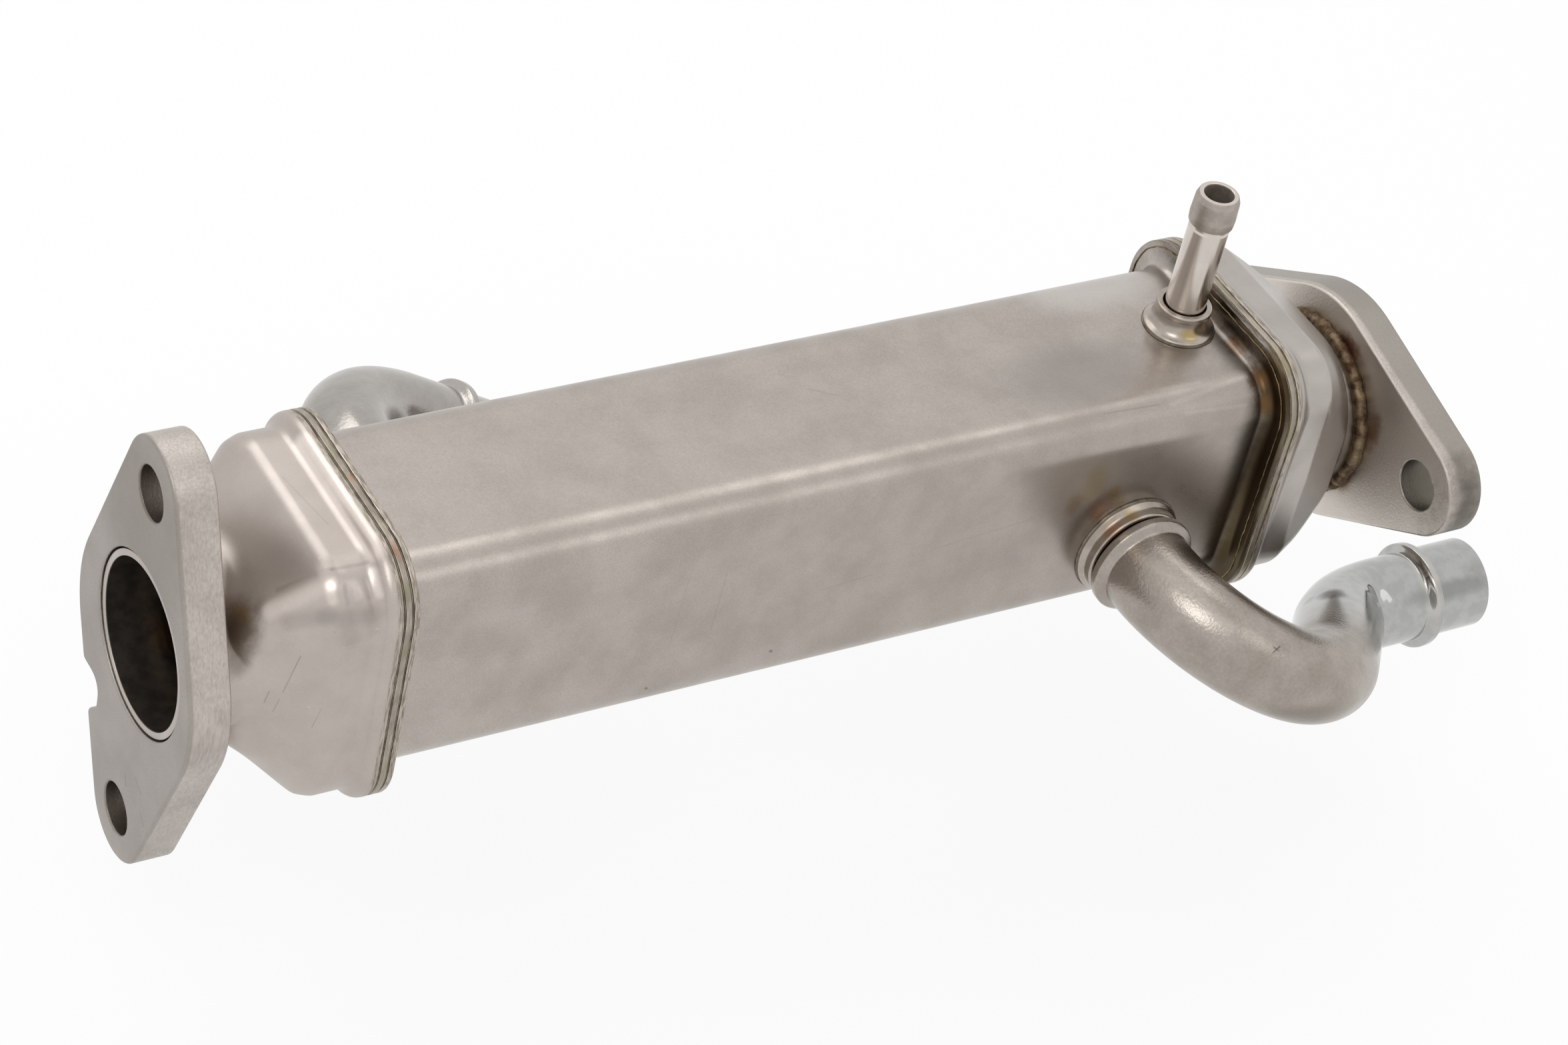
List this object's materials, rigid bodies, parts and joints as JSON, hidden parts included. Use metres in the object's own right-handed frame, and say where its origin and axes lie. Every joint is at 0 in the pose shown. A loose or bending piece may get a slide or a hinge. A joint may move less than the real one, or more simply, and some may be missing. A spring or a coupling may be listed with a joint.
{
  "type": "egr cooler",
  "caption": "Brazed stainless exhaust gas cooler: rounded square shell round a tube bundle, flanged gas ends, bent coolant pipes and a bleed nipple.",
  "frame": {"origin": "centre of the gas inlet's bore, on the outer face of the inlet flange", "axes": "+X along the shell from gas inlet to gas outlet, +Z along the bleed nipple, +Y towards the rear coolant pipe"},
  "size_m": [0.2854, 0.1283, 0.107],
  "materials": {
    "shell_steel": "satin",
    "header_steel": "satin",
    "flange_steel": "matte",
    "turned_steel": "polished",
    "pipe_steel": "satin",
    "core_steel": "matte"
  },
  "bodies": {
    "root": {"bleed_nipple": "turned_steel", "front_coolant_pipe": "pipe_steel", "front_pipe_boss": "turned_steel", "gas_tube_1_1": "core_steel", "gas_tube_1_2": "core_steel", "gas_tube_1_3": "core_steel", "gas_tube_1_4": "core_steel", "gas_tube_2_1": "core_steel", "gas_tube_2_2": "core_steel", "gas_tube_2_3": "core_steel", "gas_tube_2_4": "core_steel", "gas_tube_3_1": "core_steel", "gas_tube_3_2": "core_steel", "gas_tube_3_3": "core_steel", "gas_tube_3_4": "core_steel", "gas_tube_4_1": "core_steel", "gas_tube_4_2": "core_steel", "gas_tube_4_3": "core_steel", "gas_tube_4_4": "core_steel", "inlet_flange": "flange_steel", "inlet_header": "header_steel", "inlet_tube_sheet": "core_steel", "nipple_boss": "turned_steel", "outlet_flange": "flange_steel", "outlet_header": "header_steel", "outlet_tube_sheet": "core_steel", "rear_coolant_pipe": "pipe_steel", "rear_pipe_boss": "turned_steel", "shell": "shell_steel", "support_baffle_1": "core_steel", "support_baffle_2": "core_steel"}
  },
  "joints": []
}
